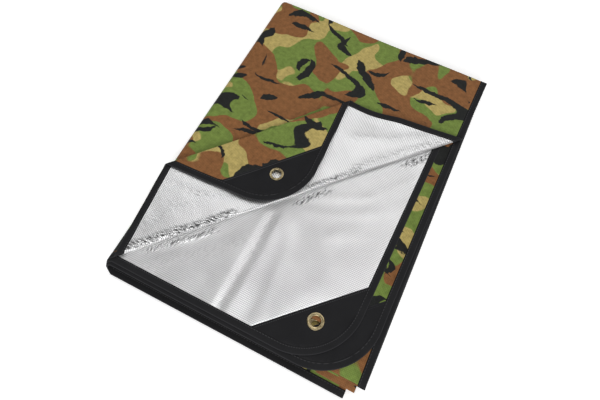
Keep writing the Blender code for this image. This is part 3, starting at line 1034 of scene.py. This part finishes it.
def eyelet_section(outer):
    """One side of an eyelet: its rolled edge at the hole, then its flange, domed out to the rim."""
    upper = []
    for i in range(ROLL_STEPS + 1):
        angle = math.pi * (1 - i / ROLL_STEPS)
        r = ROLL_AT + ROLL_RADIUS * math.cos(angle)
        upper.append((r, FLANGE_TOP - ROLL_RADIUS * (1 - math.sin(angle))))
    inner = upper[-1][0]
    for i in range(1, ROLL_STEPS + 1):
        share = i / ROLL_STEPS
        dome = FLANGE_DOME * math.sin(math.pi * share * DOME_TURN)
        r = inner + (outer - inner) * share
        upper.append((r, FLANGE_TOP - ROLL_RADIUS + dome - FLANGE_DROOP * share))
    upper.append((outer - RIM_SLOPE, PATCH_HALF))
    return upper


def make_eyelet(name, corner, material):
    u, v = corner_point(corner, EYELET_INSET, EYELET_INSET)
    us = [u, u + SEAT_STEP, u - SEAT_STEP, u, u]
    vs = [v, v, v, v + SEAT_STEP, v - SEAT_STEP]
    spots = place(us, vs, np.zeros(len(us)))
    centre, right, left, far, near = (Vector(spot) for spot in spots)
    across = (right - left).normalized()
    up = across.cross(far - near).normalized()
    along = up.cross(across)

    printed_side = eyelet_section(PRINTED_FLANGE)
    foil_side = eyelet_section(FOIL_FLANGE)
    mesh = bmesh.new()
    lathe(mesh, foil_side + [(r, -z) for r, z in reversed(printed_side)], EYELET_STEPS)
    bmesh.ops.recalc_face_normals(mesh, faces=mesh.faces[:])
    smooth_shaded(mesh)
    made = to_object(mesh, name, [material])
    made.matrix_world = Matrix.Translation(centre) @ Matrix((across, along, up)).transposed().to_4x4()
    return made


def make_stage():
    bpy.ops.mesh.primitive_plane_add(size=FLOOR_SIZE, location=(0, 0, 0))
    floor = bpy.context.object
    floor.name = "floor"
    material, _, shader = new_material("pale_floor")
    shader.inputs["Base Color"].default_value = FLOOR_COLOUR
    shader.inputs["Roughness"].default_value = FLOOR_ROUGHNESS
    shader.inputs["Emission Color"].default_value = WHITE
    shader.inputs["Emission Strength"].default_value = FLOOR_GLOW
    floor.data.materials.append(material)


def make_lights():
    world = bpy.data.worlds.new("studio")
    world.use_nodes = True
    background = world.node_tree.nodes["Background"]
    background.inputs["Color"].default_value = WHITE
    background.inputs["Strength"].default_value = WORLD_STRENGTH
    bpy.context.scene.world = world
    for row in LIGHTS:
        data = bpy.data.lights.new(row["name"], "AREA")
        data.shape = "SQUARE"
        data.size = row["size"]
        data.energy = row["power"]
        light = bpy.data.objects.new(row["name"], data)
        light.location = row["at"]
        light.rotation_euler = (-Vector(row["at"])).to_track_quat("-Z", "Y").to_euler()
        bpy.context.scene.collection.objects.link(light)


def make_camera():
    azimuth, elevation, roll = (math.radians(a) for a in (CAMERA_AZIMUTH, CAMERA_ELEVATION, CAMERA_ROLL))
    level = math.cos(elevation)
    back = Vector((math.sin(azimuth) * level, -math.cos(azimuth) * level, math.sin(elevation)))
    right = Vector((0, 0, 1)).cross(back).normalized()
    up = back.cross(right)
    rolled_right = math.cos(roll) * right + math.sin(roll) * up
    rolled_up = -math.sin(roll) * right + math.cos(roll) * up
    data = bpy.data.cameras.new("camera")
    data.sensor_width = SENSOR
    data.lens = FOCAL_PIXELS * SENSOR / PHOTO_WIDTH
    data.clip_start = CLIP_START
    camera = bpy.data.objects.new("camera", data)
    turned = Matrix((rolled_right, rolled_up, back)).transposed().to_4x4()
    camera.matrix_world = Matrix.Translation(CAMERA_AT) @ turned
    bpy.context.scene.collection.objects.link(camera)
    bpy.context.scene.camera = camera


def main():
    cloth = make_cloth([make_print(), make_foil()])
    tape = make_binding([make_tape("black_tape", **TAPE_LOOK)])
    pieces = [(cloth, "foil_cloth", "laminate"), (tape, "edge_binding", "binding")]
    patch_material = make_tape("black_patch", **PATCH_LOOK)
    brass = make_brass()
    for number, corner in enumerate(NUMBERED_CORNERS, start=1):
        patch = make_patch(f"patch_{number}", corner, [patch_material])
        pieces.append((patch, f"corner_patch_{number}", "patch"))
        ring = make_eyelet(f"ring_{number}", corner, brass)
        pieces.append((ring, f"eyelet_{number}", "eyelet"))
    for piece, replaced, slot in pieces:
        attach(piece, "root")
        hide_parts(replaced)
    make_stage()
    make_lights()
    make_camera()
    bpy.context.scene.view_settings.view_transform = "Standard"


main()
